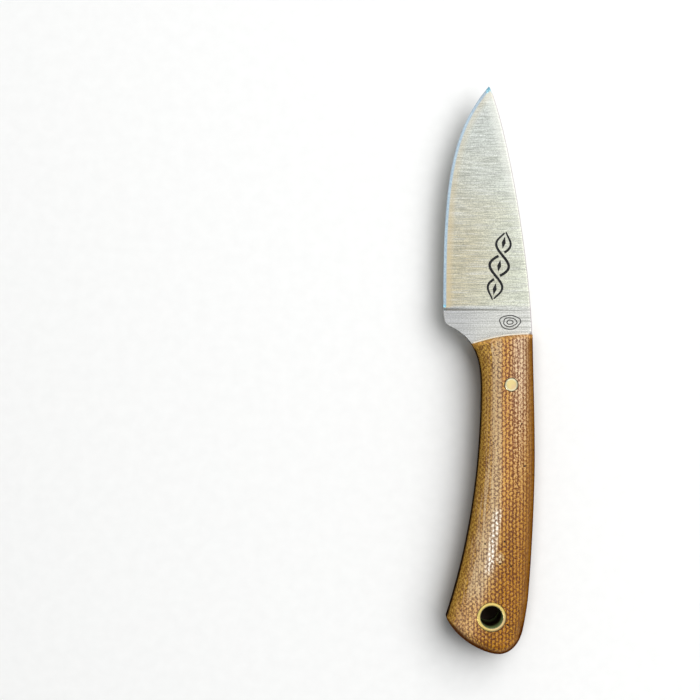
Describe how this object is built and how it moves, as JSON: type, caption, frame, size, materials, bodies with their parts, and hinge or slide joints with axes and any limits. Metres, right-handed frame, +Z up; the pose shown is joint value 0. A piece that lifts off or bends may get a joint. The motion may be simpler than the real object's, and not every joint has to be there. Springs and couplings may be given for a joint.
{
  "type": "whittling knife",
  "caption": "Fixed-blade whittling knife: flat-ground blade with a full tang, two crowned canvas laminate scales, a brass pin and a brass-lined lanyard hole.",
  "frame": {"origin": "on the surface the knife lies on, under the middle of its outline's box", "axes": "+Y from the butt to the tip, +X from the cutting edge to the spine, +Z up through the handle's thickness"},
  "size_m": [0.0256, 0.16, 0.017],
  "materials": {
    "steel": "ground with fine scratches across the blade, edge bevel brighter",
    "micarta": "tan canvas micarta, woven layers showing, semi-matt",
    "brass": "ground flush and lightly polished"
  },
  "bodies": {
    "root": {"blade_and_tang": "steel", "handle_scale_upper": "micarta", "handle_scale_lower": "micarta", "handle_pin": "brass", "lanyard_tube": "brass"}
  },
  "joints": []
}
